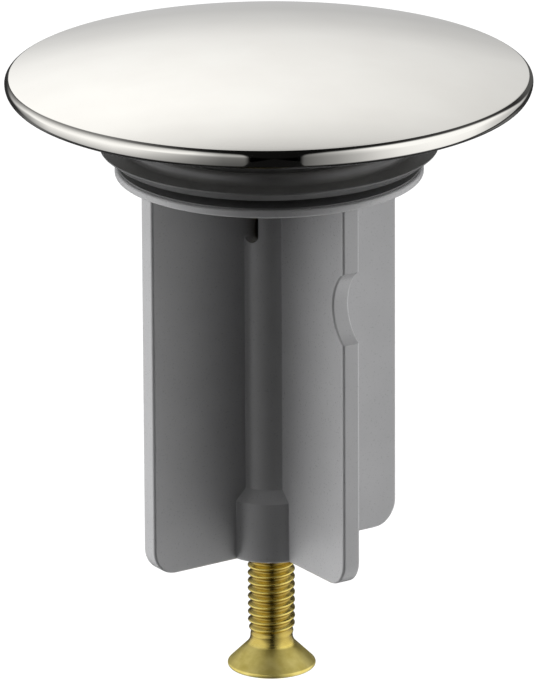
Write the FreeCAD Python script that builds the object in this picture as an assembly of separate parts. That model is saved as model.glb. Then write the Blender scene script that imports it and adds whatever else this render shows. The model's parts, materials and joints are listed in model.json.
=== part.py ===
"""Pop-up basin waste plug: domed metal cap, rubber lip seal, finned guide and height-adjusting screw.

Millimetres, +Z up. The origin is on the plug's axis, in the plane of the seal lip's edge, which is where
the plug sits in the waste. The fins lie along X and Y, and the notched fin points along -Y.
"""
import FreeCAD, Part
import math
import os

# Seal: a rubber ring clamped between the cap's boss and the guide's flange
NECK_WALL = 3.65
LIP_REACH = 2.95
LIP_EDGE = 0.3
LIP_TOP_RISE = 0.15
LIP_TO_FLANGE = 2.6
COLLAR_HEIGHT = 1.0
COLLAR_STEP = 0.4
SEAL_CLEARANCE = 0.05

# Cap: a dished disc with a rounded rim and a boss underneath
CAP_RADIUS = 31.5
DOME_RISE = 4.95
NOSE_UPPER = 0.8
NOSE_LOWER = 1.8
NOSE_SWEEP = 45.0
CAP_WALL = 2.6
RIM_LAND = 1.0
CAP_BOSS_INSET = 0.3
RIM_ABOVE_BOSS = 2.5

# Stud that joins the cap to the guide
STUD_RADIUS = 3.0
STUD_IN_CAP = 4.0
STUD_IN_GUIDE = 14.0
STUD_CHAMFER = 0.5
STUD_CLEARANCE = 0.05
STUD_END_GAP = 0.4

# Guide: flange, spigot above it, and four fins round a tube below it
FLANGE_STEP = 0.77
FLANGE_THICKNESS = 0.95
FLANGE_EDGE = 0.2
SPIGOT_RADIUS = 13.6
SPIGOT_WALL = 2.0
SPIGOT_HEIGHT = 8.0
TUBE_RADIUS = 4.55
FIN_COUNT = 4
FIN_INSET = 0.95
FIN_THICKNESS = 2.4
FIN_LENGTH = 47.65
FIN_CORNER = 3.2
FIN_EDGE = 0.3
BOSS_RADIUS = 5.9
BOSS_HEIGHT = 7.55
BOSS_CONE = 1.4

# Half-moon notch in the tip of one fin
NOTCH_BELOW_FLANGE = 12.5
NOTCH_RADIUS = 5.45
NOTCH_DEPTH = 2.3

# Window in the tube's wall beside one fin, with a round lower end
WINDOW_WIDTH = 1.7
WINDOW_HEIGHT = 7.6

# Threaded bush in the guide's boss
INSERT_RADIUS = 4.4
INSERT_LENGTH = 7.0
INSERT_RECESS = 0.3
INSERT_GROOVE_WIDTH = 1.2
INSERT_GROOVE_DEPTH = 0.4

# Adjusting screw, M6 with a cross-recessed countersunk head, drawn without its thread
SCREW_RADIUS = 2.9
SCREW_LENGTH = 35.3
SCREW_STAND_OUT = 15.05
SCREW_TIP_CHAMFER = 0.6
HEAD_RADIUS = 5.35
HEAD_RIM = 0.5
HEAD_CONE_ANGLE = 90.0
RECESS_SPAN = 6.6
RECESS_FLOOR_SPAN = 3.2
RECESS_DEPTH = 2.6
RECESS_WING = 1.3
SCREW_CLEARANCE = 0.05
BORE_CLEARANCE = 0.3

# Heights that follow from the sizes above
FLANGE_TOP = -LIP_TO_FLANGE
FLANGE_LOW = FLANGE_TOP - FLANGE_THICKNESS
SPIGOT_TOP = FLANGE_TOP + SPIGOT_HEIGHT
RIM_HEIGHT = SPIGOT_TOP + RIM_ABOVE_BOSS
FIN_LOW = FLANGE_LOW - FIN_LENGTH
HEAD_LOW = FIN_LOW - SCREW_STAND_OUT
STUD_LOW = SPIGOT_TOP - STUD_IN_GUIDE

# Radii that fit a neighbour
STUD_BORE = STUD_RADIUS + STUD_CLEARANCE
TUBE_BORE = SCREW_RADIUS + BORE_CLEARANCE
INSERT_BORE = SCREW_RADIUS + SCREW_CLEARANCE
SEAL_BORE = SPIGOT_RADIUS + SEAL_CLEARANCE
NECK_RADIUS = SEAL_BORE + NECK_WALL
LIP_RADIUS = NECK_RADIUS + LIP_REACH
CAP_BOSS_RADIUS = NECK_RADIUS - CAP_BOSS_INSET
COLLAR_RADIUS = NECK_RADIUS + COLLAR_STEP
FLANGE_RADIUS = COLLAR_RADIUS + FLANGE_STEP
FIN_RADIUS = FLANGE_RADIUS - FIN_INSET

ORIGIN = FreeCAD.Vector(0, 0, 0)
UP = FreeCAD.Vector(0, 0, 1)
FULL_TURN = 360.0


def point(radius, height):
    """A point of a turned profile."""
    return FreeCAD.Vector(radius, 0, height)


def lines(*corners):
    """Straight edges through (radius, height) corners."""
    ends = [point(*corner) for corner in corners]
    return [Part.LineSegment(a, b).toShape() for a, b in zip(ends, ends[1:])]


def arc(centre, radius, start, end):
    """One arc about a (radius, height) centre, between two angles in degrees."""
    on_arc = []
    for angle in (start, (start + end) / 2, end):
        turn = math.radians(angle)
        on_arc.append(point(centre[0] + radius * math.cos(turn), centre[1] + radius * math.sin(turn)))
    return [Part.Arc(*on_arc).toShape()]


def turned(edges):
    """The solid that a closed profile sweeps about the axis."""
    return Part.Face(Part.Wire(edges)).revolve(ORIGIN, UP, FULL_TURN)


def turned_corners(*corners):
    """A turned solid whose profile is all straight."""
    return turned(lines(*corners, corners[0]))


def rod(radius, low, high):
    """A round bar on the axis."""
    return Part.makeCylinder(radius, high - low, FreeCAD.Vector(0, 0, low))


def ball(radius, centre_height):
    """A ball on the axis. Its own poles lie level, so that its facets are even at the top."""
    return Part.makeSphere(radius, FreeCAD.Vector(0, 0, centre_height), FreeCAD.Vector(1, 0, 0))


def cap():
    """Domed disc: the dome runs tangent into the rim's upper nose, and the underside is dished."""
    nose_centre = CAP_RADIUS - NOSE_UPPER
    dome_radius = (nose_centre ** 2 + DOME_RISE ** 2 - NOSE_UPPER ** 2) / (2 * (DOME_RISE - NOSE_UPPER))
    dome_top = RIM_HEIGHT + DOME_RISE
    dome_centre = dome_top - dome_radius
    nose_start = math.degrees(math.acos(nose_centre / (dome_radius - NOSE_UPPER)))
    dome_edge = dome_radius * nose_centre / (dome_radius - NOSE_UPPER)
    dome_low = RIM_HEIGHT + NOSE_UPPER * math.sin(math.radians(nose_start))
    sweep = math.radians(NOSE_SWEEP)
    under_edge = CAP_RADIUS - NOSE_LOWER * (1 - math.cos(sweep))
    under_height = RIM_HEIGHT - NOSE_LOWER * math.sin(sweep)
    land_height = RIM_HEIGHT - NOSE_LOWER
    land_outer = under_edge - (under_height - land_height) * math.tan(sweep)
    land_inner = land_outer - RIM_LAND
    rim = turned(
        lines((0, land_height), (0, dome_low), (dome_edge, dome_low))
        + arc((nose_centre, RIM_HEIGHT), NOSE_UPPER, nose_start, 0)
        + arc((CAP_RADIUS - NOSE_LOWER, RIM_HEIGHT), NOSE_LOWER, 0, -NOSE_SWEEP)
        + lines((under_edge, under_height), (land_outer, land_height), (0, land_height))
    )
    dome = ball(dome_radius, dome_centre).common(rod(CAP_RADIUS, dome_low, dome_top + DOME_RISE))
    dish = ball(dome_radius - CAP_WALL, dome_centre).common(rod(land_inner, land_height, dome_top))
    dish = dish.cut(rod(CAP_BOSS_RADIUS, land_height, dome_top))
    body = rim.fuse(dome).cut(dish).fuse(rod(CAP_BOSS_RADIUS, SPIGOT_TOP, land_height))
    body = body.cut(rod(STUD_BORE, SPIGOT_TOP, SPIGOT_TOP + STUD_IN_CAP + STUD_END_GAP))
    return body.removeSplitter()


def cap_stud():
    """Headless stud with chamfered ends."""
    top = SPIGOT_TOP + STUD_IN_CAP
    tip = STUD_RADIUS - STUD_CHAMFER
    return turned_corners(
        (0, STUD_LOW),
        (tip, STUD_LOW),
        (STUD_RADIUS, STUD_LOW + STUD_CHAMFER),
        (STUD_RADIUS, top - STUD_CHAMFER),
        (tip, top),
        (0, top),
    )


def seal():
    """Rubber ring: a neck under the cap, a wedge lip at the origin's plane and a collar on the flange."""
    half_edge = LIP_EDGE / 2
    return turned_corners(
        (SEAL_BORE, FLANGE_TOP),
        (COLLAR_RADIUS, FLANGE_TOP),
        (COLLAR_RADIUS, FLANGE_TOP + COLLAR_HEIGHT),
        (LIP_RADIUS, -half_edge),
        (LIP_RADIUS, half_edge),
        (NECK_RADIUS, half_edge + LIP_TOP_RISE),
        (NECK_RADIUS, SPIGOT_TOP),
        (SEAL_BORE, SPIGOT_TOP),
    )


def fin(notched):
    """One fin along +X, from the axis to its tip, with a round lower corner and chamfered edges."""
    half = FIN_THICKNESS / 2
    corner_centre = (FIN_RADIUS - FIN_CORNER, FIN_LOW + FIN_CORNER)
    edges = lines((0, FLANGE_LOW), (0, FIN_LOW), (corner_centre[0], FIN_LOW))
    edges += arc(corner_centre, FIN_CORNER, -90, 0)
    edges += lines((FIN_RADIUS, corner_centre[1]), (FIN_RADIUS, FLANGE_LOW), (0, FLANGE_LOW))
    plate = Part.Face(Part.Wire(edges)).extrude(FreeCAD.Vector(0, FIN_THICKNESS, 0))
    plate.translate(FreeCAD.Vector(0, -half, 0))
    if notched:
        notch_centre = FreeCAD.Vector(
            FIN_RADIUS - NOTCH_DEPTH + NOTCH_RADIUS, -FIN_THICKNESS, FLANGE_LOW - NOTCH_BELOW_FLANGE
        )
        plate = plate.cut(
            Part.makeCylinder(NOTCH_RADIUS, 2 * FIN_THICKNESS, notch_centre, FreeCAD.Vector(0, 1, 0))
        )
    soft = [edge for edge in plate.Edges if is_outline(edge, half)]
    return plate.makeChamfer(FIN_EDGE, soft)


def is_outline(edge, half):
    """Whether an edge runs along a fin's side and clear of the boss and the flange."""
    middle = edge.valueAt((edge.FirstParameter + edge.LastParameter) / 2)
    on_side = abs(abs(middle.y) - half) < FIN_EDGE / 10
    along_side = edge.BoundBox.YLength < FIN_EDGE / 10
    return on_side and along_side and middle.x > 0 and middle.z < FLANGE_LOW - FIN_EDGE / 10


def spigot():
    """Thin ring and column that the seal and the cap sit on, tied by ribs over the fins."""
    ring = rod(SPIGOT_RADIUS, FLANGE_TOP, SPIGOT_TOP)
    ring = ring.cut(rod(SPIGOT_RADIUS - SPIGOT_WALL, FLANGE_TOP, SPIGOT_TOP))
    inside = rod(SPIGOT_RADIUS - SPIGOT_WALL / 2, FLANGE_TOP, SPIGOT_TOP)
    half = FIN_THICKNESS / 2
    body = ring.fuse(rod(TUBE_RADIUS, FLANGE_TOP, SPIGOT_TOP))
    for quarter in range(FIN_COUNT):
        rib = Part.makeBox(
            SPIGOT_RADIUS, FIN_THICKNESS, SPIGOT_HEIGHT, FreeCAD.Vector(0, -half, FLANGE_TOP)
        )
        rib.rotate(ORIGIN, UP, quarter * FULL_TURN / FIN_COUNT)
        body = body.fuse(rib.common(inside))
    return body


def window():
    """Cutter for the tube's window, on its -X side and against the fin's -Y face."""
    half = WINDOW_WIDTH / 2
    centre_y = -FIN_THICKNESS / 2 - half
    round_height = FLANGE_LOW - WINDOW_HEIGHT + half
    along = FreeCAD.Vector(-1, 0, 0)
    slot = Part.makeBox(
        TUBE_RADIUS,
        WINDOW_WIDTH,
        FLANGE_LOW - round_height,
        FreeCAD.Vector(-TUBE_RADIUS, centre_y - half, round_height),
    )
    return slot.fuse(Part.makeCylinder(half, TUBE_RADIUS, FreeCAD.Vector(0, centre_y, round_height), along))


def guide_body():
    """One moulding: flange, spigot, tube, boss and fins, with its bores, notch and window."""
    boss_top = FIN_LOW + BOSS_HEIGHT
    column = turned_corners(
        (0, FIN_LOW),
        (BOSS_RADIUS, FIN_LOW),
        (BOSS_RADIUS, boss_top),
        (TUBE_RADIUS, boss_top + BOSS_CONE),
        (TUBE_RADIUS, FLANGE_LOW),
        (0, FLANGE_LOW),
    )
    flange = turned_corners(
        (0, FLANGE_LOW),
        (FLANGE_RADIUS - FLANGE_EDGE, FLANGE_LOW),
        (FLANGE_RADIUS, FLANGE_LOW + FLANGE_EDGE),
        (FLANGE_RADIUS, FLANGE_TOP),
        (0, FLANGE_TOP),
    )
    body = column.fuse([flange, spigot()])
    for quarter in range(FIN_COUNT):
        blade = fin(notched=quarter == FIN_COUNT - 1)
        blade.rotate(ORIGIN, UP, quarter * FULL_TURN / FIN_COUNT)
        body = body.fuse(blade)
    pocket_top = FIN_LOW + INSERT_RECESS + INSERT_LENGTH
    body = body.cut(rod(INSERT_RADIUS, FIN_LOW, pocket_top))
    body = body.cut(rod(TUBE_BORE, pocket_top, STUD_LOW - STUD_END_GAP))
    body = body.cut(rod(STUD_BORE, STUD_LOW - STUD_END_GAP, SPIGOT_TOP))
    body = body.cut(window())
    return body.removeSplitter()


def thread_insert():
    """Brass bush with a groove round its middle, which keeps it in the boss."""
    low = FIN_LOW + INSERT_RECESS
    top = low + INSERT_LENGTH
    middle = (low + top) / 2
    groove = INSERT_RADIUS - INSERT_GROOVE_DEPTH
    return turned_corners(
        (INSERT_BORE, low),
        (INSERT_RADIUS, low),
        (INSERT_RADIUS, middle - INSERT_GROOVE_WIDTH / 2),
        (groove, middle - INSERT_GROOVE_WIDTH / 2),
        (groove, middle + INSERT_GROOVE_WIDTH / 2),
        (INSERT_RADIUS, middle + INSERT_GROOVE_WIDTH / 2),
        (INSERT_RADIUS, top),
        (INSERT_BORE, top),
    )


def cross_recess():
    """Cutter for the drive in the screw's head: two crossed wings that narrow with depth."""
    floor = HEAD_LOW + RECESS_DEPTH
    edges = lines(
        (-RECESS_SPAN / 2, HEAD_LOW),
        (RECESS_SPAN / 2, HEAD_LOW),
        (RECESS_FLOOR_SPAN / 2, floor),
        (-RECESS_FLOOR_SPAN / 2, floor),
        (-RECESS_SPAN / 2, HEAD_LOW),
    )
    wing = Part.Face(Part.Wire(edges)).extrude(FreeCAD.Vector(0, RECESS_WING, 0))
    wing.translate(FreeCAD.Vector(0, -RECESS_WING / 2, 0))
    across = wing.copy()
    across.rotate(ORIGIN, UP, FULL_TURN / 4)
    return wing.fuse(across)


def adjusting_screw():
    """Countersunk screw, head down, with its drive in the underside."""
    cone_low = HEAD_LOW + HEAD_RIM
    cone_height = (HEAD_RADIUS - SCREW_RADIUS) / math.tan(math.radians(HEAD_CONE_ANGLE / 2))
    tip = HEAD_LOW + SCREW_LENGTH
    screw = turned_corners(
        (0, HEAD_LOW),
        (HEAD_RADIUS, HEAD_LOW),
        (HEAD_RADIUS, cone_low),
        (SCREW_RADIUS, cone_low + cone_height),
        (SCREW_RADIUS, tip - SCREW_TIP_CHAMFER),
        (SCREW_RADIUS - SCREW_TIP_CHAMFER, tip),
        (0, tip),
    )
    return screw.cut(cross_recess())


PIECES = {
    "cap": cap,
    "cap_stud": cap_stud,
    "seal": seal,
    "guide_body": guide_body,
    "thread_insert": thread_insert,
    "adjusting_screw": adjusting_screw,
}


def main():
    os.makedirs("parts", exist_ok=True)
    for name, make in PIECES.items():
        shape = make()
        solid = shape.Solids[0]
        if len(shape.Solids) != 1 or not solid.isValid():
            raise ValueError(name + " is not one valid solid")
        solid.exportStep("parts/" + name + ".step")
        print(name, round(solid.Volume, 1), "mm3")


main()
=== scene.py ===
"""Looks of the basin waste plug: polished cap, rubber seal, moulded guide and threaded brass screw.

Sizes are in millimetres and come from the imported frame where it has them. Meshes are made in metres.
"""
import bmesh
import bpy
import json
import math
from mathutils import Matrix, Vector


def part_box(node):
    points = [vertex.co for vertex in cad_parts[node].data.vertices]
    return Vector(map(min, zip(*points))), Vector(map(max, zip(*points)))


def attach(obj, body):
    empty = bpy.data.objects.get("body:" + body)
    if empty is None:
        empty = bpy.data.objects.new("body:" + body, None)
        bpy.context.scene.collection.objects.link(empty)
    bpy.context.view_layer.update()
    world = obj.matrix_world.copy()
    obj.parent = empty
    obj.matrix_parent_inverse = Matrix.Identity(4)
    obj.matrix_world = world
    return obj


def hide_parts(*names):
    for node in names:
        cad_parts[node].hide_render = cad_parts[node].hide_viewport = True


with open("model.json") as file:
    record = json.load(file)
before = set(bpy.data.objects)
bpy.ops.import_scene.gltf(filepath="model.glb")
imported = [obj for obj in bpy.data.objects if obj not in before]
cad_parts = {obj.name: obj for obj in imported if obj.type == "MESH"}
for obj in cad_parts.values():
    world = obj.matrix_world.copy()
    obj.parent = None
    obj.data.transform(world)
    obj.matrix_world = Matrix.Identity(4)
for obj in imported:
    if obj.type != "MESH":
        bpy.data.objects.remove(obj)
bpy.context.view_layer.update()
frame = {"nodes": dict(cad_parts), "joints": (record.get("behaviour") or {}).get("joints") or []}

MM = 0.001


def box_mm(node):
    """Lowest and highest corner of a CAD node, in millimetres."""
    return [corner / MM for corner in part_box(node)]


# Sizes read from the frame
cap_low, cap_high = box_mm("cap")
seal_low, seal_high = box_mm("seal")
guide_low, guide_high = box_mm("guide_body")
insert_high = box_mm("thread_insert")[1]
screw_low, screw_high = box_mm("adjusting_screw")
CAP_RADIUS = cap_high.x
CAP_TOP = cap_high.z
SPIGOT_TOP = cap_low.z
LIP_RADIUS = seal_high.x
FLANGE_TOP = seal_low.z
FLANGE_RADIUS = guide_high.x
FIN_LOW = guide_low.z
INSERT_RADIUS = insert_high.x
INSERT_TOP = insert_high.z
HEAD_RADIUS = screw_high.x
HEAD_LOW = screw_low.z
SCREW_TIP = screw_high.z

# Cap
DOME_RISE = 4.95
NOSE_UPPER = 0.8
NOSE_LOWER = 1.8
CAP_WALL = 2.6
RIM_LAND = 1.0
CAP_BOSS_RADIUS = 17.0
CAP_BOSS_FOOT = 14.8
STUD_BORE = 3.05
STUD_HOLE_TOP = 9.8
RIM_HEIGHT = CAP_TOP - DOME_RISE
# Below this top, the rim's underside is rougher and its colour is painted dark as shade
ROUGH_SHADED_DROP = 1.02
ROUGH_SHADED_TOP = RIM_HEIGHT - ROUGH_SHADED_DROP
ROUGH_SHADED_FADE = 0.15

# Seal
NECK_RADIUS = 17.3
NECK_TOP = 1.75
NECK_ROUND = 0.5
NECK_GROOVE_RADIUS = 15.2
NECK_GROOVE_LOW = 0.8
SEAL_BORE = 13.65
SEAL_EDGE = 0.08
SEAL_CORNER = 0.15
LIP_TOP = 0.06
LIP_EDGE = 0.18
LIP_TOP_RISE = 0.15
LIP_FILLET = 0.7
LIP_LOW = -1.2
LIP_LOW_RADIUS = 18.9
GROOVE_RADIUS = 16.0
GROOVE_TOP = -1.05
FOOT_RADIUS = 18.1
FOOT_EDGE = 0.2
FOOT_RISE = 0.5

# Guide
FLANGE_THICKNESS = 0.95
FLANGE_LOW = FLANGE_TOP - FLANGE_THICKNESS
FLANGE_ROUND = 0.3
SPIGOT_RADIUS = 13.6
SPIGOT_WALL = 2.0
SPIGOT_ROUND = 0.2
RIB_SINK = FLANGE_THICKNESS / 3
TUBE_RADIUS = 4.55
TUBE_BORE = 3.2
FIN_COUNT = 4
FIN_RADIUS = 17.52
FIN_THICKNESS = 2.4
FIN_CORNER = 3.2
FIN_EDGE = 0.35
ROOT_FILLET = 0.12
BOSS_RADIUS = 5.9
BOSS_HEIGHT = 7.55
BOSS_CONE = 1.4
NOTCH_BELOW_FLANGE = 12.5
NOTCH_RADIUS = 5.45
NOTCH_DEPTH = 2.3
WINDOW_WIDTH = 1.7
WINDOW_HEIGHT = 7.6
STUD_BORE_LOW = -9.0
CUT_PAST = 1.0

# Screw, with a rolled M6 thread that runs out at both ends
THREAD_PITCH = 1.0
THREAD_MAJOR = 2.87
THREAD_ROOT = 2.38
THREAD_PHASE = -0.06
THREAD_FADE = 1.6
SPARE_TURNS = 2
SHANK_RADIUS = 2.57
PLAIN_SHANK = 0.7
HEAD_RIM = 0.5
HEAD_FACE_ROUND = 0.35
HEAD_RIM_ROUND = 0.3
HEAD_FILLET = 1.6
HEAD_FADE = 1.2
HEAD_CONE_TOP = HEAD_LOW + HEAD_RIM + HEAD_RADIUS - SHANK_RADIUS
TIP_CHAMFER = 0.6
THREAD_LOW = HEAD_CONE_TOP + PLAIN_SHANK
THREAD_HIGH = SCREW_TIP - TIP_CHAMFER
RECESS_SPAN = 6.6
RECESS_FLOOR_SPAN = 3.2
RECESS_DEPTH = 2.6
RECESS_PAST = RECESS_DEPTH / 10
RECESS_WING = 1.3

# One turn of the thread's outline: share of the pitch, and share of the way from root to crest
THREAD_PROFILE = [
    (0, 0), (0.16, 0), (0.24, 0.1), (0.44, 0.8), (0.52, 0.97), (0.58, 1),
    (0.64, 0.97), (0.72, 0.8), (0.92, 0.1),
]

# Mesh fineness: steps round a turn or along an arc, and tolerances
TURN_STEPS = 192
BORE_STEPS = 96
THREAD_STEPS = 64
DOME_STEPS = 40
NOSE_UPPER_STEPS = 14
NOSE_LOWER_STEPS = 18
DISH_STEPS = 16
NOTCH_STEPS = 20
CORNER_STEPS = 16
COLUMN_STEPS = 14
WINDOW_STEPS = 16
EDGE_STEPS = 6
FILLET_STEPS = 6
SECTION_STEPS = 5
SHARP_ANGLE = math.radians(40)
ON_AXIS = 1e-6
MERGE_WITHIN = 1e-4


def link(name, data):
    """A new object for a mesh or a camera, in the scene."""
    piece = bpy.data.objects.new(name, data)
    bpy.context.scene.collection.objects.link(piece)
    return piece


def mesh_piece(name, points, faces):
    """An object from points in millimetres, with double points merged and its faces turned outwards."""
    mesh = bpy.data.meshes.new(name)
    mesh.from_pydata([Vector(p) * MM for p in points], [], faces)
    work = bmesh.new()
    work.from_mesh(mesh)
    bmesh.ops.remove_doubles(work, verts=work.verts, dist=MERGE_WITHIN * MM)
    bmesh.ops.dissolve_degenerate(work, edges=work.edges, dist=MERGE_WITHIN * MM)
    bmesh.ops.recalc_face_normals(work, faces=work.faces)
    work.to_mesh(mesh)
    work.free()
    return link(name, mesh)


def arc(centre, radius, start, end, steps):
    """Points along an arc, between two angles in radians."""
    angles = [start + (end - start) * k / steps for k in range(steps + 1)]
    return [Vector((centre[0] + radius * math.cos(a), centre[1] + radius * math.sin(a))) for a in angles]


def rounded(*corners, before=None):
    """Points of an outline through (x, y, fillet) corners, each rounded by an arc of its fillet.

    The outline is closed, unless a point before its first corner is given.
    """
    points = []
    for i, (x, y, fillet) in enumerate(corners):
        corner = Vector((x, y))
        if not fillet:
            points.append(corner)
            continue
        last_place = before if before and i == 0 else corners[i - 1][:2]
        before_way = (Vector(last_place) - corner).normalized()
        after_way = (Vector(corners[(i + 1) % len(corners)][:2]) - corner).normalized()
        half = before_way.angle(after_way) / 2
        centre = corner + (before_way + after_way).normalized() * fillet / math.sin(half)
        reach = fillet / math.tan(half)
        first = corner + before_way * reach - centre
        last = corner + after_way * reach - centre
        start = math.atan2(first.y, first.x)
        sweep = math.remainder(math.atan2(last.y, last.x) - start, math.tau)
        points += arc(centre, fillet, start, start + sweep, FILLET_STEPS)
    return points


def ring(radius, height, steps):
    """Points of a level circle about the axis."""
    turns = [math.tau * k / steps for k in range(steps)]
    return [(radius * math.cos(turn), radius * math.sin(turn), height) for turn in turns]


def band(this_ring, next_ring, count):
    """Faces between two closed rings, each given by the index of its first point."""
    faces = []
    for k in range(count):
        across = (k + 1) % count
        faces.append((this_ring + k, this_ring + across, next_ring + across, next_ring + k))
    return faces


def turned(name, outline, steps=TURN_STEPS):
    """A closed (radius, height) outline swept about the axis."""
    points = []
    faces = []
    for i, (radius, height) in enumerate(outline):
        points += ring(radius, height, steps)
        after = (i + 1) % len(outline)
        if max(radius, outline[after][0]) >= ON_AXIS:
            faces += band(i * steps, after * steps, steps)
    return mesh_piece(name, points, faces)


def lofted(name, heights, sections):
    """A closed piece through sections with the same number of points, one at each height."""
    count = len(sections[0])
    points = []
    for height, section in zip(heights, sections):
        points += [(x, y, height) for x, y in section]
    faces = [tuple(range(count)), tuple(range(len(points) - count, len(points)))]
    for row in range(len(sections) - 1):
        faces += band(row * count, (row + 1) * count, count)
    return mesh_piece(name, points, faces)


def bake(piece):
    """Puts a piece's modifiers into its mesh."""
    shown = piece.evaluated_get(bpy.context.evaluated_depsgraph_get())
    piece.data = bpy.data.meshes.new_from_object(shown)
    piece.modifiers.clear()


def combine(piece, other, operation):
    """Joins another closed piece to this one, or cuts it away, and removes the other."""
    change = piece.modifiers.new("change", "BOOLEAN")
    change.operation = operation
    change.solver = "EXACT"
    change.object = other
    bake(piece)
    bpy.data.objects.remove(other)


def finish_piece(piece, body, node, material):
    """Smooth shading, the material, and the piece's place in the frame."""
    piece.data.shade_smooth()
    piece.data.set_sharp_from_angle(angle=SHARP_ANGLE)
    even = piece.modifiers.new("even", "WEIGHTED_NORMAL")
    even.keep_sharp = True
    piece.data.materials.clear()
    piece.data.materials.append(material)
    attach(piece, body)
    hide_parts(node)


def cap():
    """Dome that runs into a rounded rim, with a dished underside and a boss that narrows to the seal."""
    nose_centre = CAP_RADIUS - NOSE_UPPER
    dome_radius = (nose_centre ** 2 + DOME_RISE ** 2 - NOSE_UPPER ** 2) / (2 * (DOME_RISE - NOSE_UPPER))
    dome_centre = (0, CAP_TOP - dome_radius)
    nose_start = math.acos(nose_centre / (dome_radius - NOSE_UPPER))
    land_outer = CAP_RADIUS - NOSE_LOWER
    land_inner = land_outer - RIM_LAND
    land_height = RIM_HEIGHT - NOSE_LOWER
    dish_radius = dome_radius - CAP_WALL
    dish_outer = math.acos(land_inner / dish_radius)
    dish_inner = math.acos(CAP_BOSS_RADIUS / dish_radius)
    outline = arc(dome_centre, dome_radius, math.pi / 2, nose_start, DOME_STEPS)
    outline += arc((nose_centre, RIM_HEIGHT), NOSE_UPPER, nose_start, 0, NOSE_UPPER_STEPS)
    outline += arc((land_outer, RIM_HEIGHT), NOSE_LOWER, 0, -math.pi / 2, NOSE_LOWER_STEPS)
    outline.append(Vector((land_inner, land_height)))
    outline += arc(dome_centre, dish_radius, dish_outer, dish_inner, DISH_STEPS)
    outline += [
        Vector((CAP_BOSS_FOOT, SPIGOT_TOP)),
        Vector((STUD_BORE, SPIGOT_TOP)),
        Vector((STUD_BORE, STUD_HOLE_TOP)),
        Vector((0, STUD_HOLE_TOP)),
    ]
    return turned("cap_dome", outline)


def seal():
    """Rubber ring with a neck, a lip and a thin foot, grooved under the lip and behind the neck's rim."""
    outline = rounded(
        (SEAL_BORE, FLANGE_TOP, 0),
        (FOOT_RADIUS, FLANGE_TOP, 0),
        (FOOT_RADIUS, FLANGE_TOP + FOOT_EDGE, SEAL_EDGE),
        (GROOVE_RADIUS, FLANGE_TOP + FOOT_RISE, SEAL_CORNER),
        (GROOVE_RADIUS, GROOVE_TOP, SEAL_CORNER),
        (LIP_LOW_RADIUS, LIP_LOW, SEAL_CORNER),
        (LIP_RADIUS, LIP_TOP - LIP_EDGE, SEAL_EDGE),
        (LIP_RADIUS, LIP_TOP, SEAL_EDGE),
        (NECK_RADIUS, LIP_TOP + LIP_TOP_RISE, LIP_FILLET),
        (NECK_RADIUS, NECK_TOP, NECK_ROUND),
        (NECK_GROOVE_RADIUS, NECK_GROOVE_LOW, SEAL_CORNER),
        (NECK_GROOVE_RADIUS, SPIGOT_TOP, 0),
        (SEAL_BORE, SPIGOT_TOP, 0),
    )
    return turned("seal_ring", outline)


def fin_reach(height, notched):
    """How far a fin reaches from the axis at a height: round at its foot, and notched on one fin."""
    reach = FIN_RADIUS
    below_corner = FIN_LOW + FIN_CORNER - height
    if below_corner > 0:
        reach += math.sqrt(max(FIN_CORNER ** 2 - below_corner ** 2, 0)) - FIN_CORNER
    notch_centre = FIN_RADIUS - NOTCH_DEPTH + NOTCH_RADIUS
    off_notch = height - (FLANGE_LOW - NOTCH_BELOW_FLANGE)
    if notched and abs(off_notch) < NOTCH_RADIUS:
        reach = min(reach, notch_centre - math.sqrt(NOTCH_RADIUS ** 2 - off_notch ** 2))
    return reach


def column_radius(height):
    """Radius of the tube, which widens through a cone into the boss at the foot."""
    boss_top = FIN_LOW + BOSS_HEIGHT
    share = min(max((boss_top + BOSS_CONE - height) / BOSS_CONE, 0), 1)
    return TUBE_RADIUS + (BOSS_RADIUS - TUBE_RADIUS) * share


def guide_heights():
    """Heights of the guide's sections, close together where its outline curves."""
    notch_middle = FLANGE_LOW - NOTCH_BELOW_FLANGE
    notch_half = math.sqrt(NOTCH_RADIUS ** 2 - (NOTCH_RADIUS - NOTCH_DEPTH) ** 2)
    boss_top = FIN_LOW + BOSS_HEIGHT
    heights = [FLANGE_LOW + FLANGE_THICKNESS / 2, boss_top + BOSS_CONE, boss_top]
    for k in range(EDGE_STEPS + 1):
        heights.append(FLANGE_LOW - ROOT_FILLET * (1 - math.cos(math.pi / 2 * k / EDGE_STEPS)))
        heights.append(FIN_LOW + FIN_EDGE * (1 - math.sin(math.pi / 2 * k / EDGE_STEPS)))
    for k in range(NOTCH_STEPS + 1):
        heights.append(notch_middle + notch_half * math.cos(math.pi * k / NOTCH_STEPS))
    for k in range(CORNER_STEPS + 1):
        heights.append(FIN_LOW + FIN_CORNER * (1 - math.sin(math.pi / 2 * k / CORNER_STEPS)))
    return sorted({round(height, 5) for height in heights}, reverse=True)


def cross_section(column, half, reaches):
    """Outline of a round column with four fins, filleted where they meet and rounded at their edges."""
    root_y = half + ROOT_FILLET
    root_x = math.sqrt((column + ROOT_FILLET) ** 2 - root_y ** 2)
    root_turn = math.atan2(root_y, root_x)
    edge = min(FIN_EDGE, half / 2)
    section = []
    for quarter, reach in enumerate(reaches):
        one_fin = arc((root_x, -root_y), ROOT_FILLET, math.pi - root_turn, math.pi / 2, SECTION_STEPS)
        one_fin += arc((reach - edge, edge - half), edge, -math.pi / 2, 0, SECTION_STEPS)
        one_fin += arc((reach - edge, half - edge), edge, 0, math.pi / 2, SECTION_STEPS)
        one_fin += arc((root_x, root_y), ROOT_FILLET, -math.pi / 2, root_turn - math.pi, SECTION_STEPS)
        one_fin += arc((0, 0), column, root_turn, math.pi / 2 - root_turn, COLUMN_STEPS)[1:-1]
        turn = Matrix.Rotation(math.tau * quarter / FIN_COUNT, 2)
        section += [turn @ p for p in one_fin]
    return section


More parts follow.
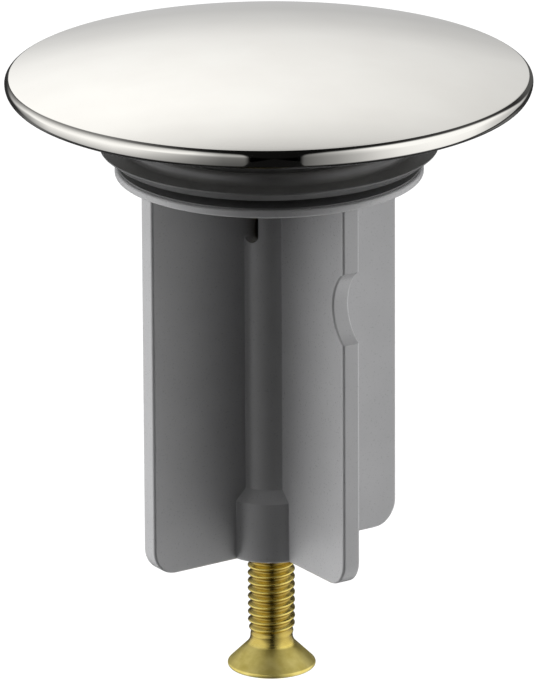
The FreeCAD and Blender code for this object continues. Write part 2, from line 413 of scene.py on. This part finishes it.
def guide_section(height):
    """The guide's outline at a height, which swells under the flange and draws in at the foot."""
    near_flange = min(max(ROOT_FILLET - (FLANGE_LOW - height), 0), ROOT_FILLET)
    swell = ROOT_FILLET - math.sqrt(ROOT_FILLET ** 2 - near_flange ** 2)
    near_foot = max(FIN_EDGE - (height - FIN_LOW), 0)
    inset = FIN_EDGE - math.sqrt(max(FIN_EDGE ** 2 - near_foot ** 2, 0))
    grown = swell - inset
    reaches = []
    for quarter in range(FIN_COUNT):
        reaches.append(fin_reach(height, notched=quarter == FIN_COUNT - 1) + grown)
    return cross_section(column_radius(height) + grown, FIN_THICKNESS / 2 + grown, reaches)


def flange_outline():
    """Section of the flange and the spigot on it, which closes along the axis."""
    spigot_bore = SPIGOT_RADIUS - SPIGOT_WALL
    return [Vector((0, FLANGE_LOW))] + rounded(
        (FLANGE_RADIUS, FLANGE_LOW, FLANGE_ROUND),
        (FLANGE_RADIUS, FLANGE_TOP, FLANGE_ROUND),
        (SPIGOT_RADIUS, FLANGE_TOP, 0),
        (SPIGOT_RADIUS, SPIGOT_TOP, SPIGOT_ROUND),
        (spigot_bore, SPIGOT_TOP, SPIGOT_ROUND),
        (spigot_bore, FLANGE_TOP, 0),
        (0, FLANGE_TOP, 0),
        before=(0, FLANGE_LOW),
    )


def ribs():
    """Cross of ribs from the tube into the spigot's wall, down into the flange."""
    reach = SPIGOT_RADIUS - SPIGOT_WALL + SPIGOT_WALL / 2
    section = cross_section(TUBE_RADIUS, FIN_THICKNESS / 2, [reach] * FIN_COUNT)
    return lofted("ribs", [SPIGOT_TOP, FLANGE_TOP - RIB_SINK], [section, section])


def bore_outline():
    """Section of the stepped bore: the bush's seat at the foot, the tube, and the stud's hole above."""
    return [
        Vector((0, FIN_LOW - CUT_PAST)),
        Vector((INSERT_RADIUS, FIN_LOW - CUT_PAST)),
        Vector((INSERT_RADIUS, INSERT_TOP)),
        Vector((TUBE_BORE, INSERT_TOP)),
        Vector((TUBE_BORE, STUD_BORE_LOW)),
        Vector((STUD_BORE, STUD_BORE_LOW)),
        Vector((STUD_BORE, SPIGOT_TOP + CUT_PAST)),
        Vector((0, SPIGOT_TOP + CUT_PAST)),
    ]


def window_cutter():
    """Slot with a round lower end, through the tube's wall beside one fin."""
    half = WINDOW_WIDTH / 2
    centre_y = -FIN_THICKNESS / 2 - half
    low = FLANGE_LOW - WINDOW_HEIGHT + half
    outline = arc((centre_y, low), half, math.pi, math.tau, WINDOW_STEPS)
    outline += [Vector((centre_y + half, FLANGE_LOW)), Vector((centre_y - half, FLANGE_LOW))]
    count = len(outline)
    points = [(x, y, z) for x in (-TUBE_RADIUS - ROOT_FILLET, 0) for y, z in outline]
    faces = [tuple(range(count)), tuple(range(count, 2 * count))] + band(0, count, count)
    return mesh_piece("window_cutter", points, faces)


def guide():
    """Column with fins, joined to the flange, the spigot and its ribs, and bored through."""
    heights = guide_heights()
    body = lofted("guide_moulding", heights, [guide_section(height) for height in heights])
    combine(body, turned("flange", flange_outline()), "UNION")
    combine(body, ribs(), "UNION")
    combine(body, turned("bore", bore_outline(), BORE_STEPS), "DIFFERENCE")
    combine(body, window_cutter(), "DIFFERENCE")
    return body


def thread_wall():
    """Points and faces of the threaded wall: one helix that fades into the plain shank at both ends."""
    turns = math.ceil((THREAD_HIGH - THREAD_LOW) / THREAD_PITCH) + 2 * SPARE_TURNS
    points = []
    for step in range(turns * THREAD_STEPS + 1):
        turn = math.tau * step / THREAD_STEPS
        for along, rise in THREAD_PROFILE:
            pitches = step / THREAD_STEPS + along + THREAD_PHASE - SPARE_TURNS
            height = THREAD_LOW + THREAD_PITCH * pitches
            formed = min(max(min(height - THREAD_LOW, THREAD_HIGH - height) / THREAD_FADE, 0), 1)
            full = THREAD_ROOT + (THREAD_MAJOR - THREAD_ROOT) * rise
            radius = SHANK_RADIUS + (full - SHANK_RADIUS) * formed
            level = min(max(height, THREAD_LOW), THREAD_HIGH)
            points.append((radius * math.cos(turn), radius * math.sin(turn), level))
    faces = []
    width = len(THREAD_PROFILE)
    for step in range((turns - 1) * THREAD_STEPS):
        for k in range(width):
            near = step * width + k
            far = near + 1 if k + 1 < width else (step + THREAD_STEPS) * width
            faces.append((near, near + width, far + width, far))
    return points, faces


def recess_cutter(turn):
    """One wing of the drive in the screw's head, which narrows with depth."""
    low = HEAD_LOW - RECESS_PAST
    high = HEAD_LOW + RECESS_DEPTH
    slope = (RECESS_SPAN - RECESS_FLOOR_SPAN) / 2 / RECESS_DEPTH
    half_span = RECESS_SPAN / 2 + slope * (HEAD_LOW - low)
    half_wing = RECESS_WING / 2
    points = []
    for half, height in ((half_span, low), (RECESS_FLOOR_SPAN / 2, high)):
        for x, y in ((-1, -1), (1, -1), (1, 1), (-1, 1)):
            points.append(Matrix.Rotation(turn, 3, "Z") @ Vector((x * half, y * half_wing, height)))
    faces = [(0, 1, 2, 3), (4, 5, 6, 7)] + band(0, 4, 4)
    return mesh_piece("recess_cutter", points, faces)


def screw():
    """Countersunk screw with a rolled thread and a cross recess, head down."""
    points, faces = thread_wall()
    below = [Vector((0, HEAD_LOW))] + rounded(
        (HEAD_RADIUS, HEAD_LOW, HEAD_FACE_ROUND),
        (HEAD_RADIUS, HEAD_LOW + HEAD_RIM, HEAD_RIM_ROUND),
        (SHANK_RADIUS, HEAD_CONE_TOP, HEAD_FILLET),
        (SHANK_RADIUS, THREAD_LOW, 0),
        before=(0, HEAD_LOW),
    )
    above = [
        Vector((SHANK_RADIUS, THREAD_HIGH)),
        Vector((SHANK_RADIUS - TIP_CHAMFER, SCREW_TIP)),
        Vector((0, SCREW_TIP)),
    ]
    for outline in (below, above):
        for row, (radius, height) in enumerate(outline):
            this_ring = len(points)
            points += ring(radius, height, THREAD_STEPS)
            if row > 0:
                faces += band(this_ring - THREAD_STEPS, this_ring, THREAD_STEPS)
    piece = mesh_piece("screw_threaded", points, faces)
    for turn in (0, math.pi / 2):
        combine(piece, recess_cutter(turn), "DIFFERENCE")
    return piece


# Colours from a darker to a lighter one, and roughness from a lower to a higher one
# The nickel's underside colour is painted shade, near black
NICKEL_PAINTED_SHADE = ((0.055, 0.053, 0.05), (0.07, 0.068, 0.064))
NICKEL_BRIGHT = ((0.83, 0.81, 0.765), (0.86, 0.845, 0.80))
NICKEL_DULL_ROUGH = (0.2, 0.26)
NICKEL_BRIGHT_ROUGH = (0.03, 0.055)
RUBBER = ((0.1, 0.1, 0.101), (0.12, 0.12, 0.121))
RUBBER_ROUGH = (0.28, 0.38)
RUBBER_SPECULAR = 0.7
PLASTIC = ((0.425, 0.425, 0.432), (0.455, 0.455, 0.462))
PLASTIC_ROUGH = (0.26, 0.36)
PLASTIC_SPECULAR = 0.75
BRASS = ((0.62, 0.48, 0.2), (0.72, 0.58, 0.28))
BRASS_ROUGH = (0.25, 0.4)
# The head's colour is painted lighter than the thread's, as painted light
HEAD_BRASS_PAINTED_LIGHT = ((0.74, 0.6, 0.14), (0.98, 0.84, 0.3))
HEAD_ROUGH = (0.36, 0.48)
# The thread's roots are painted darker, as painted shade
ROOT_BRASS_PAINTED_SHADE = ((0.38, 0.27, 0.06), (0.46, 0.34, 0.08))
CREST_BRASS = ((0.71, 0.56, 0.14), (0.82, 0.67, 0.2))
THREAD_ROUGH = (0.2, 0.3)

# Sizes of spots, spacing of marks and depths of bump in the materials
TINT_SPOTS = 9
POLISH_MARKS = 0.25
POLISH_DEPTH = 0.0002
DUST_SPOTS = 3
RUBBER_GRAIN = 0.3
RUBBER_DEPTH = 0.006
FLOW_SPOTS = 6
PLASTIC_GRAIN = 0.25
PLASTIC_DEPTH = 0.002
TARNISH_SPOTS = 1.6
TOOL_MARKS = 0.12
NOISE_DETAIL = 3.0
RAMP_PLACES = (0.3, 0.7)


def shader(name):
    """A new material with its node tree, main shader and object coordinates."""
    material = bpy.data.materials.new(name)
    material.use_nodes = True
    tree = material.node_tree
    coords = tree.nodes.new("ShaderNodeTexCoord").outputs["Object"]
    return material, tree, tree.nodes["Principled BSDF"], coords


def noise(tree, coords, size_mm):
    """Noise whose spots are about as large as size_mm."""
    texture = tree.nodes.new("ShaderNodeTexNoise")
    texture.inputs["Scale"].default_value = 1 / (size_mm * MM)
    texture.inputs["Detail"].default_value = NOISE_DETAIL
    tree.links.new(coords, texture.inputs["Vector"])
    return texture.outputs["Fac"]


def lines(tree, length, size_mm):
    """Fine marks that follow one length, about size_mm apart."""
    marks = tree.nodes.new("ShaderNodeTexNoise")
    marks.noise_dimensions = "1D"
    marks.inputs["Scale"].default_value = 1 / (size_mm * MM)
    tree.links.new(length, marks.inputs["W"])
    return marks.outputs["Fac"]


def ramp(tree, source, low, high, target):
    """Sets a socket from noise, between two numbers or two colours."""
    stops = tree.nodes.new("ShaderNodeValToRGB")
    colours = [value if isinstance(value, tuple) else (value, value, value) for value in (low, high)]
    for stop, place, colour in zip(stops.color_ramp.elements, RAMP_PLACES, colours):
        stop.position = place
        stop.color = (*colour, 1)
    tree.links.new(source, stops.inputs["Fac"])
    tree.links.new(stops.outputs["Color"], target)


def grain(tree, source, depth_mm, main):
    """Bump of a real depth."""
    bump = tree.nodes.new("ShaderNodeBump")
    bump.inputs["Distance"].default_value = depth_mm * MM
    tree.links.new(source, bump.inputs["Height"])
    tree.links.new(bump.outputs["Normal"], main.inputs["Normal"])


def vector_node(tree, operation, first, second=(0, 0, 0)):
    """A vector operation on a socket and a fixed vector."""
    node = tree.nodes.new("ShaderNodeVectorMath")
    node.operation = operation
    node.inputs[1].default_value = second
    tree.links.new(first, node.inputs[0])
    return node


def split(tree, vector):
    """The three parts of a vector."""
    parts = tree.nodes.new("ShaderNodeSeparateXYZ")
    tree.links.new(vector, parts.inputs["Vector"])
    return [parts.outputs[name] for name in "XYZ"]


def height_above(tree, coords):
    """Height of a point in the frame."""
    return split(tree, coords)[2]


def from_axis(tree, coords):
    """Distance of a point from the plug's axis."""
    flat = vector_node(tree, "MULTIPLY", coords, (1, 1, 0)).outputs["Vector"]
    return vector_node(tree, "LENGTH", flat).outputs["Value"]


def within(tree, length, low_mm, high_mm):
    """Goes from 0 to 1 as a length rises from one size to another."""
    step = tree.nodes.new("ShaderNodeMapRange")
    step.inputs["From Min"].default_value = low_mm * MM
    step.inputs["From Max"].default_value = high_mm * MM
    tree.links.new(length, step.inputs["Value"])
    return step.outputs["Result"]


def blended(tree, factor, target, kind="FLOAT"):
    """Sets a socket from two others, and returns the one for a factor of 0 and the one for 1."""
    mix = tree.nodes.new("ShaderNodeMix")
    mix.data_type = kind
    tree.links.new(factor, mix.inputs["Factor"])
    tree.links.new(mix.outputs["Result"], target)
    return mix.inputs["A"], mix.inputs["B"]


def polished_nickel():
    """Bright plate with faint polishing marks round the axis, rougher on the underside, whose colour is
    painted dark as shade.
    """
    material, tree, main, coords = shader("polished_nickel")
    main.inputs["Metallic"].default_value = 1.0
    height = height_above(tree, coords)
    polished = within(tree, height, ROUGH_SHADED_TOP - ROUGH_SHADED_FADE, ROUGH_SHADED_TOP)
    # Below the rim's underside top, the colour is painted shade instead of bright nickel
    painted_shade, bright = blended(tree, polished, main.inputs["Base Color"], "RGBA")
    tint = noise(tree, coords, TINT_SPOTS)
    ramp(tree, tint, *NICKEL_PAINTED_SHADE, painted_shade)
    ramp(tree, tint, *NICKEL_BRIGHT, bright)
    marks = lines(tree, from_axis(tree, coords), POLISH_MARKS)
    dull_rough, bright_rough = blended(tree, polished, main.inputs["Roughness"])
    ramp(tree, marks, *NICKEL_DULL_ROUGH, dull_rough)
    ramp(tree, marks, *NICKEL_BRIGHT_ROUGH, bright_rough)
    grain(tree, marks, POLISH_DEPTH, main)
    return material


def black_rubber():
    """Moulded rubber, a little dusty, with a fine grain."""
    material, tree, main, coords = shader("black_rubber")
    main.inputs["Specular IOR Level"].default_value = RUBBER_SPECULAR
    dust = noise(tree, coords, DUST_SPOTS)
    ramp(tree, dust, *RUBBER, main.inputs["Base Color"])
    fine = noise(tree, coords, RUBBER_GRAIN)
    ramp(tree, fine, *RUBBER_ROUGH, main.inputs["Roughness"])
    grain(tree, fine, RUBBER_DEPTH, main)
    return material


def grey_plastic():
    """Moulded plastic with a fine matt texture and slight flow marks."""
    material, tree, main, coords = shader("grey_plastic")
    main.inputs["Specular IOR Level"].default_value = PLASTIC_SPECULAR
    flow = noise(tree, coords, FLOW_SPOTS)
    ramp(tree, flow, *PLASTIC, main.inputs["Base Color"])
    fine = noise(tree, coords, PLASTIC_GRAIN)
    ramp(tree, fine, *PLASTIC_ROUGH, main.inputs["Roughness"])
    grain(tree, fine, PLASTIC_DEPTH, main)
    return material


def brass(name):
    """Turned brass, a little uneven in colour, with fine marks from the tool along its length."""
    material, tree, main, coords = shader(name)
    main.inputs["Metallic"].default_value = 1.0
    tarnish = noise(tree, coords, TARNISH_SPOTS)
    ramp(tree, tarnish, *BRASS, main.inputs["Base Color"])
    marks = lines(tree, height_above(tree, coords), TOOL_MARKS)
    ramp(tree, marks, *BRASS_ROUGH, main.inputs["Roughness"])
    return material


def screw_brass():
    """Rolled brass with painted shade in the roots of the thread, and a coarser turned head whose colour
    is painted lighter as light.
    """
    material, tree, main, coords = shader("screw_brass")
    main.inputs["Metallic"].default_value = 1.0
    height = height_above(tree, coords)
    threaded = within(tree, height, HEAD_CONE_TOP - HEAD_FADE, HEAD_CONE_TOP)
    crest = within(tree, from_axis(tree, coords), THREAD_ROOT, THREAD_MAJOR)
    tarnish = noise(tree, coords, TARNISH_SPOTS)
    # The head is painted lighter and the thread's roots darker: painted light and painted shade
    lit_head, on_thread = blended(tree, threaded, main.inputs["Base Color"], "RGBA")
    ramp(tree, tarnish, *HEAD_BRASS_PAINTED_LIGHT, lit_head)
    shaded_root, on_crest = blended(tree, crest, on_thread, "RGBA")
    ramp(tree, tarnish, *ROOT_BRASS_PAINTED_SHADE, shaded_root)
    ramp(tree, tarnish, *CREST_BRASS, on_crest)
    marks = lines(tree, height, TOOL_MARKS)
    head_rough, thread_rough = blended(tree, threaded, main.inputs["Roughness"])
    ramp(tree, marks, *HEAD_ROUGH, head_rough)
    ramp(tree, marks, *THREAD_ROUGH, thread_rough)
    return material


# Camera, as fitted to the photograph: bearing from +X, elevation and roll in degrees
CAMERA_BEARING = -123.38
CAMERA_ELEVATION = 18.436
CAMERA_ROLL = 0.293
CAMERA_DISTANCE = 1078.5
CAMERA_LENS = 603.67
AIM_HEIGHT = -26.1
AIM_RIGHT = -0.321
AIM_UP = 1.3885


def camera():
    """The photograph's view, without shift."""
    bearing = math.radians(CAMERA_BEARING)
    elevation = math.radians(CAMERA_ELEVATION)
    roll = math.radians(CAMERA_ROLL)
    level = Vector((math.cos(bearing), math.sin(bearing), 0))
    back = level * math.cos(elevation) + Vector((0, 0, math.sin(elevation)))
    side = Vector((-level.y, level.x, 0))
    over = back.cross(side)
    right = side * math.cos(roll) - over * math.sin(roll)
    up = side * math.sin(roll) + over * math.cos(roll)
    aim = Vector((0, 0, AIM_HEIGHT)) + right * AIM_RIGHT + up * AIM_UP
    place = (aim + back * CAMERA_DISTANCE) * MM
    lens = bpy.data.cameras.new("camera")
    lens.sensor_fit = "HORIZONTAL"
    lens.lens = CAMERA_LENS
    view = link("camera", lens)
    turn = Matrix((right, up, back)).transposed().to_4x4()
    view.matrix_world = Matrix.Translation(place) @ turn
    bpy.context.scene.camera = view


# Studio: a panel behind the object and a card on each side, set by where a polished surface shows them.
# A surface's turn is from the camera towards its right, and its tilt is from level upwards, in degrees.
# Each pair is a place and a brightness, or for an edge a turn and a tilt.
PANEL_LEVELS = [
    (74.6, 0.3), (74.85, 0.4), (75.1, 0.52), (75.6, 0.68), (77, 0.86), (79, 1.0), (81, 1.05), (84, 1.04),
    (88, 0.985), (90, 0.94), (92, 0.885), (94, 0.78), (96, 0.68), (100, 0.56), (120, 0.45),
]
PANEL_SIDES = [
    (-0.4, 1.14), (-0.15, 1.12), (-0.05, 1.06), (0.05, 0.97), (0.15, 0.85), (0.25, 0.69), (0.35, 0.57),
    (0.5, 0.45),
]
PANEL_EDGE = [
    (-92, 68), (-84, 63), (-75, 60), (-60, 61), (-48, 68), (-38, 74.4), (-12, 74.87), (20, 74.92),
    (34, 74.5), (46, 71), (54, 67), (62, 64), (70, 62), (80, 63), (92, 66),
]
GAP_LEVELS = [
    (-90, 0.08), (-75, 0.06), (-66, 0.11), (-58, 0.25), (-38, 0.22), (-28, 0.09), (-18, 0.02),
    (-10, 0.006), (10, 0.004), (20, 0.012), (30, 0.025), (40, 0.045), (50, 0.065), (60, 0.04), (70, 0.03),
    (80, 0.1),
]
CARD_TOP = [
    (-90, 56), (-45, 54), (-30, 47), (-20, 43), (-12, 38), (-8, 34), (-6, 30), (-5.2, 24), (-4.6, 12),
    (1, 0), (6.8, 8), (7.2, 18), (8, 27), (10, 32), (13, 38), (20, 42), (52, 42), (62, 38), (72, 24),
    (90, 24),
]
CARD_LOW = [
    (-80, 0), (-70, 13), (-60, 24), (-50, 31), (-40, 37), (-15, 42), (-9, 41), (-6, 37), (-5.2, 31),
    (-4.6, 16), (1, 0), (6.8, 14), (7.2, 28), (8, 37), (10, 41), (15, 42), (40, 39), (50, 30), (60, 16),
    (66, 6), (70, 0),
]
LEFT_LEVELS = [
    (-90, 0.15), (-75, 0.22), (-65, 0.42), (-56, 1.0), (-36, 1.15), (-30, 1.0), (-25, 0.76), (-20, 0.56),
    (-15, 0.34), (-10, 0.2), (-5.2, 0.17), (-4.3, 0),
]
LEFT_SHADES = [(-40, 0.5), (-28, 0.55), (-10, 0.8), (0, 1), (10, 1.7), (18, 2.8), (34, 2.8)]
LEFT_FADE = [(12, 1), (26, 0.8), (34, 0.62), (44, 0.42), (54, 0.28)]
RIGHT_LEVELS = [
    (6.7, 0), (7.6, 0.14), (10, 0.21), (15, 0.35), (20, 0.56), (25, 0.82), (30, 1.0), (38, 1.12),
    (50, 1.08), (58, 0.75), (65, 0.58), (75, 0.5),
]
RIGHT_SHADES = [(-40, 0.9), (0, 1), (18, 1.25), (28, 1.5)]
CARD_MOST = 1.15
DARK = 0.006
DARK_BEHIND = 0.03
FLOOR_BEHIND = 0.15

# Half the width of the panel's, the gap's and the cards' soft edges, in degrees.
# The floor line goes by how far down a ray points, and grazing by how much a surface faces the camera.
PANEL_SOFT = 0.2
GAP_SOFT = 8
CARD_SOFT = 1.5
FLOOR_LINE = (-0.5, -0.36)
GRAZING = (0.26, 0.36)

# Soft light on all that is not a mirror: strong from both sides, less from behind, little from in front.
# The first list goes by bearing from the camera towards its right, the others by height above level,
# towards the front, where the light comes from above, and towards the sides and back.
SOFT_LEVELS = [
    (-180, 0.5), (-156, 0.7), (-132, 1.7), (-108, 2.5), (-84, 2.7), (-60, 1.2), (-43, 0.28), (-28, 0.08),
    (-15, 0), (43, 0), (60, 1.15), (84, 2.8), (108, 1.7), (132, 1.0), (156, 0.5), (180, 0.5),
]
FRONT_SHADES = [(-40, 0), (-10, 0.3), (10, 1.0), (45, 1.45), (90, 1.3)]
SIDE_SHADES = [(-60, 1.7), (-25, 1.4), (10, 1.1), (45, 0.8), (90, 0.6)]
FRONT_SIDE = (62, 88)


def put(tree, socket, value):
    """Gives a socket a number, or links it to another socket."""
    if isinstance(value, (int, float)):
        socket.default_value = value
    else:
        tree.links.new(value, socket)


def sums(tree, operation, *values):
    """The result of a sum on sockets or numbers."""
    node = tree.nodes.new("ShaderNodeMath")
    node.operation = operation
    for socket, value in zip(node.inputs, values):
        put(tree, socket, value)
    return node.outputs["Value"]


def follow(tree, source, stops):
    """A value that follows (place, value) stops, level beyond both ends."""
    low, high = stops[0][0], stops[-1][0]
    spread = tree.nodes.new("ShaderNodeMapRange")
    spread.inputs["From Min"].default_value = low
    spread.inputs["From Max"].default_value = high
    tree.links.new(source, spread.inputs["Value"])
    levels = tree.nodes.new("ShaderNodeValToRGB")
    elements = levels.color_ramp.elements
    while len(elements) < len(stops):
        elements.new(0.5)
    for element, (place, level) in zip(elements, stops):
        element.position = (place - low) / (high - low)
        element.color = (level, level, level, 1)
    tree.links.new(spread.outputs["Result"], levels.inputs["Fac"])
    return levels.outputs["Color"]


def fade(tree, source, low, high, below, above):
    """Goes from one value to another as a source rises through a short range."""
    step = tree.nodes.new("ShaderNodeMapRange")
    step.interpolation_type = "SMOOTHSTEP"
    step.inputs["From Min"].default_value = low
    step.inputs["From Max"].default_value = high
    tree.links.new(source, step.inputs["Value"])
    mix = tree.nodes.new("ShaderNodeMix")
    tree.links.new(step.outputs["Result"], mix.inputs["Factor"])
    put(tree, mix.inputs["A"], below)
    put(tree, mix.inputs["B"], above)
    return mix.outputs["Result"]


def card_light(tree, turn, tilt):
    """The cards on both sides, dark beyond their lower edge."""
    left = sums(tree, "MULTIPLY", follow(tree, turn, LEFT_LEVELS), follow(tree, tilt, LEFT_SHADES))
    left = sums(tree, "MULTIPLY", sums(tree, "MINIMUM", left, CARD_MOST), follow(tree, tilt, LEFT_FADE))
    right = sums(tree, "MULTIPLY", follow(tree, turn, RIGHT_LEVELS), follow(tree, tilt, RIGHT_SHADES))
    cards = sums(tree, "ADD", left, sums(tree, "MINIMUM", right, CARD_MOST))
    above_edge = sums(tree, "ADD", tilt, follow(tree, turn, CARD_LOW))
    return fade(tree, above_edge, -CARD_SOFT, CARD_SOFT, DARK, cards)


def mirror_light(tree, direction):
    """The cards, the dark gap above them and the panel, by the surface that would mirror them."""
    elevation = math.radians(CAMERA_ELEVATION)
    to_camera = (math.cos(elevation), 0, math.sin(elevation))
    half_way = vector_node(tree, "ADD", direction, to_camera).outputs["Vector"]
    surface = vector_node(tree, "NORMALIZE", half_way).outputs["Vector"]
    facing = vector_node(tree, "DOT_PRODUCT", surface, to_camera).outputs["Value"]
    near, across, up = split(tree, surface)
    turn = sums(tree, "DEGREES", sums(tree, "ARCTAN2", across, near))
    tilt = sums(tree, "DEGREES", sums(tree, "ARCSINE", up))
    pitch = sums(tree, "DEGREES", sums(tree, "ARCTAN2", up, near))
    ray_side, ray_up = split(tree, direction)[1:]
    behind = fade(tree, ray_up, *FLOOR_LINE, FLOOR_BEHIND, DARK_BEHIND)
    cards = fade(tree, facing, *GRAZING, behind, card_light(tree, turn, tilt))
    below_top = sums(tree, "SUBTRACT", follow(tree, turn, CARD_TOP), tilt)
    light = fade(tree, below_top, -GAP_SOFT, GAP_SOFT, follow(tree, turn, GAP_LEVELS), cards)
    panel = sums(tree, "MULTIPLY", follow(tree, pitch, PANEL_LEVELS), follow(tree, ray_side, PANEL_SIDES))
    above_edge = sums(tree, "SUBTRACT", tilt, follow(tree, turn, PANEL_EDGE))
    return fade(tree, above_edge, -PANEL_SOFT, PANEL_SOFT, light, panel)


def soft_light(tree, direction):
    """Light on all that is not a mirror, by its bearing from the camera and its height."""
    near, across, up = split(tree, direction)
    bearing = sums(tree, "DEGREES", sums(tree, "ARCTAN2", across, near))
    height = sums(tree, "DEGREES", sums(tree, "ARCSINE", up))
    front = follow(tree, height, FRONT_SHADES)
    side = follow(tree, height, SIDE_SHADES)
    shade = fade(tree, sums(tree, "ABSOLUTE", bearing), *FRONT_SIDE, front, side)
    return sums(tree, "MULTIPLY", follow(tree, bearing, SOFT_LEVELS), shade)


def studio():
    """White to the camera, the panel and cards to mirror rays, and the soft light to all others."""
    world = bpy.data.worlds.new("studio")
    world.use_nodes = True
    bpy.context.scene.world = world
    tree = world.node_tree
    coords = tree.nodes.new("ShaderNodeTexCoord")
    turned_to = tree.nodes.new("ShaderNodeMapping")
    turned_to.inputs["Rotation"].default_value = (0, 0, -math.radians(CAMERA_BEARING))
    tree.links.new(coords.outputs["Generated"], turned_to.inputs["Vector"])
    direction = turned_to.outputs["Vector"]
    mirrored = mirror_light(tree, direction)
    soft = soft_light(tree, direction)
    rays = tree.nodes.new("ShaderNodeLightPath")
    light = fade(tree, rays.outputs["Is Glossy Ray"], 0, 1, soft, mirrored)
    shown = tree.nodes.new("ShaderNodeMix")
    shown.data_type = "RGBA"
    tree.links.new(rays.outputs["Is Camera Ray"], shown.inputs["Factor"])
    tree.links.new(light, shown.inputs["A"])
    shown.inputs["B"].default_value = (1, 1, 1, 1)
    tree.links.new(shown.outputs["Result"], tree.nodes["Background"].inputs["Color"])


# Floor
FLOOR_HALF = 1500.0
FLOOR_GAP = 1.0
FLOOR_GLOW = 0.9
FLOOR_PAINT = 0.2


def floor_paint():
    """Pale paint with a glow of its own, so that it is white with a faint shadow."""
    material = bpy.data.materials.new("floor")
    material.use_nodes = True
    tree = material.node_tree
    tree.nodes.remove(tree.nodes["Principled BSDF"])
    matt = tree.nodes.new("ShaderNodeBsdfDiffuse")
    matt.inputs["Color"].default_value = (FLOOR_PAINT, FLOOR_PAINT, FLOOR_PAINT, 1)
    glow = tree.nodes.new("ShaderNodeEmission")
    glow.inputs["Strength"].default_value = FLOOR_GLOW
    both = tree.nodes.new("ShaderNodeAddShader")
    tree.links.new(matt.outputs["BSDF"], both.inputs[0])
    tree.links.new(glow.outputs["Emission"], both.inputs[1])
    tree.links.new(both.outputs["Shader"], tree.nodes["Material Output"].inputs["Surface"])
    return material


def floor():
    """Floor below the screw's lowest place, which lights nothing and shows in no mirror."""
    lowest = HEAD_LOW + frame["joints"][0]["range_m"][0] / MM - FLOOR_GAP
    mesh = bpy.data.meshes.new("floor")
    corners = [(-1, -1), (1, -1), (1, 1), (-1, 1)]
    places = [(x * FLOOR_HALF * MM, y * FLOOR_HALF * MM, lowest * MM) for x, y in corners]
    mesh.from_pydata(places, [], [(0, 1, 2, 3)])
    mesh.materials.append(floor_paint())
    ground = link("floor", mesh)
    ground.visible_glossy = False
    ground.visible_diffuse = False


def paint(node, material):
    """Gives a CAD node that stays in view its material."""
    piece = frame["nodes"][node]
    piece.data.materials.clear()
    piece.data.materials.append(material)


finish_piece(cap(), "plug", "cap", polished_nickel())
finish_piece(seal(), "plug", "seal", black_rubber())
finish_piece(guide(), "plug", "guide_body", grey_plastic())
finish_piece(screw(), "screw", "adjusting_screw", screw_brass())
paint("cap_stud", brass("stud_brass"))
paint("thread_insert", brass("insert_brass"))
studio()
floor()
camera()
bpy.context.scene.view_settings.view_transform = "Standard"
